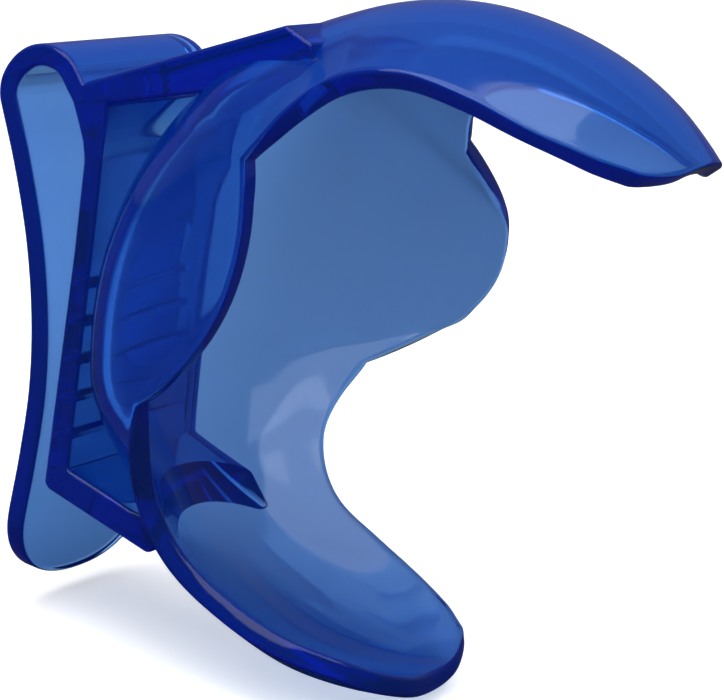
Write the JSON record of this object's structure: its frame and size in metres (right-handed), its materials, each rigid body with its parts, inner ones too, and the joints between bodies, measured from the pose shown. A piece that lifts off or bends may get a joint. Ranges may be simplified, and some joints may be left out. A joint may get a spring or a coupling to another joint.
{
  "type": "cheek retractor",
  "caption": "Clear blue plastic dental cheek retractor: a C-shaped rounded cheek shell on a flat bracket with a ribbed face and a springy clip leaf.",
  "frame": {"origin": "centre of the whole part's bounding box", "axes": "+X from the clip and bracket out through the shell's open mouth, +Y from the front flange to the back lobe, +Z along the bracket's wall towards the clip's hairpin loop"},
  "size_m": [0.0722, 0.0478, 0.0716],
  "materials": {
    "clear_blue": "clear polished moulding"
  },
  "bodies": {
    "retractor": {"shell_root": "clear_blue", "upper_wing": "clear_blue", "lower_wing": "clear_blue", "front_flange": "clear_blue", "back_lobe": "clear_blue", "grip_wall": "clear_blue", "top_plate": "clear_blue", "bottom_plate": "clear_blue", "grip_rib_1": "clear_blue", "grip_rib_2": "clear_blue", "grip_rib_3": "clear_blue", "grip_rib_4": "clear_blue", "grip_rib_5": "clear_blue"},
    "clip": {"spring_loop": "clear_blue", "clip_leaf": "clear_blue"}
  },
  "joints": [
    {"name": "clip_flex", "type": "hinge", "parent": "retractor", "child": "clip", "pos_m": [-0.02638, -0.00687, 0.02072], "axis": [0, 1, 0], "range_deg": [0, 10], "stiffness_Nm_per_rad": 1.6}
  ]
}
